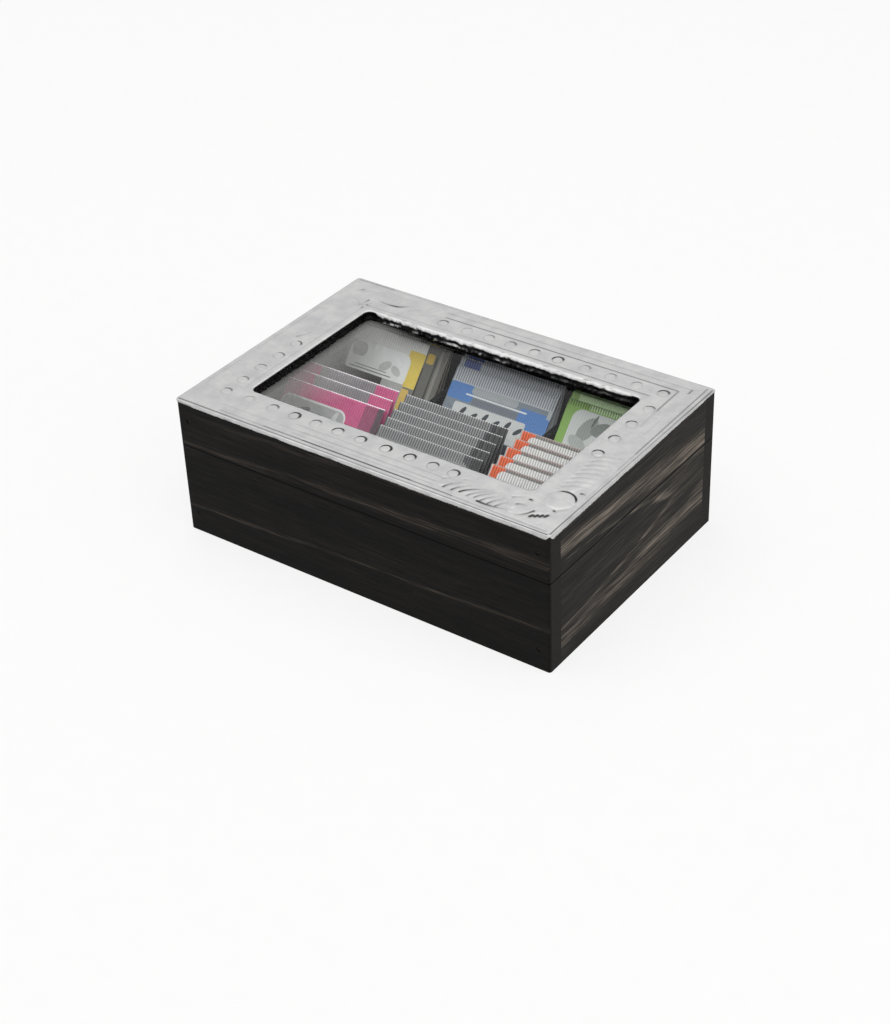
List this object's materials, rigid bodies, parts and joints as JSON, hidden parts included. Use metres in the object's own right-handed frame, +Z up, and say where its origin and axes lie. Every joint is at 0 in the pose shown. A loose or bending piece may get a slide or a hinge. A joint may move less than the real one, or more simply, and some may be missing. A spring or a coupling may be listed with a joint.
{
  "type": "tea sachet box with hinged glass lid",
  "caption": "Wooden box with compartments for enveloped tea sachets, a hinged lid with a glass window, and an embossed metal sheet over the lid.",
  "frame": {"origin": "centre of the underside of the wooden box", "axes": "+X to the right along the long front, +Y to the hinged back, +Z up"},
  "size_m": [0.2408, 0.1679, 0.0847],
  "materials": {
    "stained_pine": "dark satin stain over pine, grain shows through",
    "stained_panel": "dark stain, dull",
    "stained_divider": "dark stain, dull",
    "stained_strip": "dark stain, dull",
    "window_glass": "clear polished sheet glass",
    "embossed_aluminium": "bright, hand embossed, slightly crumpled",
    "steel_brads": "dull steel",
    "hinge_brass": "brass plated, satin",
    "sachet_film_yellow": "printed paper and film laminate, soft gloss",
    "sachet_film_blue": "printed paper and film laminate, soft gloss",
    "sachet_film_green": "printed paper and film laminate, soft gloss",
    "sachet_film_pink": "printed paper and film laminate, soft gloss",
    "sachet_film_grey": "printed paper and film laminate, soft gloss",
    "sachet_film_orange": "printed paper and film laminate, soft gloss"
  },
  "bodies": {
    "base": {"base_front_board": "stained_pine", "base_back_board": "stained_pine", "base_left_board": "stained_pine", "base_right_board": "stained_pine", "bottom_panel": "stained_panel", "long_divider": "stained_divider", "cross_divider_left": "stained_divider", "cross_divider_right": "stained_divider", "base_corner_nails": "steel_brads", "bottom_panel_nails": "steel_brads", "hinge_base_leaf_left": "hinge_brass", "hinge_base_leaf_right": "hinge_brass", "hinge_pin_left": "hinge_brass", "hinge_pin_right": "hinge_brass", "hinge_base_screws": "hinge_brass", "sachets_back_left_yellow": "sachet_film_yellow", "sachets_back_middle_blue": "sachet_film_blue", "sachets_back_right_green": "sachet_film_green", "sachets_front_left_pink": "sachet_film_pink", "sachets_front_middle_grey": "sachet_film_grey", "sachets_front_right_orange": "sachet_film_orange"},
    "lid": {"lid_front_board": "stained_pine", "lid_back_board": "stained_pine", "lid_left_board": "stained_pine", "lid_right_board": "stained_pine", "lid_top_panel": "stained_panel", "window_glass": "window_glass", "glass_retainer_front": "stained_strip", "glass_retainer_back": "stained_strip", "glass_retainer_left": "stained_strip", "glass_retainer_right": "stained_strip", "glass_retainer_pins": "steel_brads", "embossed_metal_cover": "embossed_aluminium", "lid_corner_nails": "steel_brads", "hinge_lid_leaf_left": "hinge_brass", "hinge_lid_leaf_right": "hinge_brass", "hinge_lid_screws": "hinge_brass"}
  },
  "joints": [
    {"name": "lid_hinge", "type": "hinge", "parent": "base", "child": "lid", "pos_m": [0, 0.08305, 0.0553], "axis": [-1, 0, 0], "range_deg": [0, 100]}
  ]
}
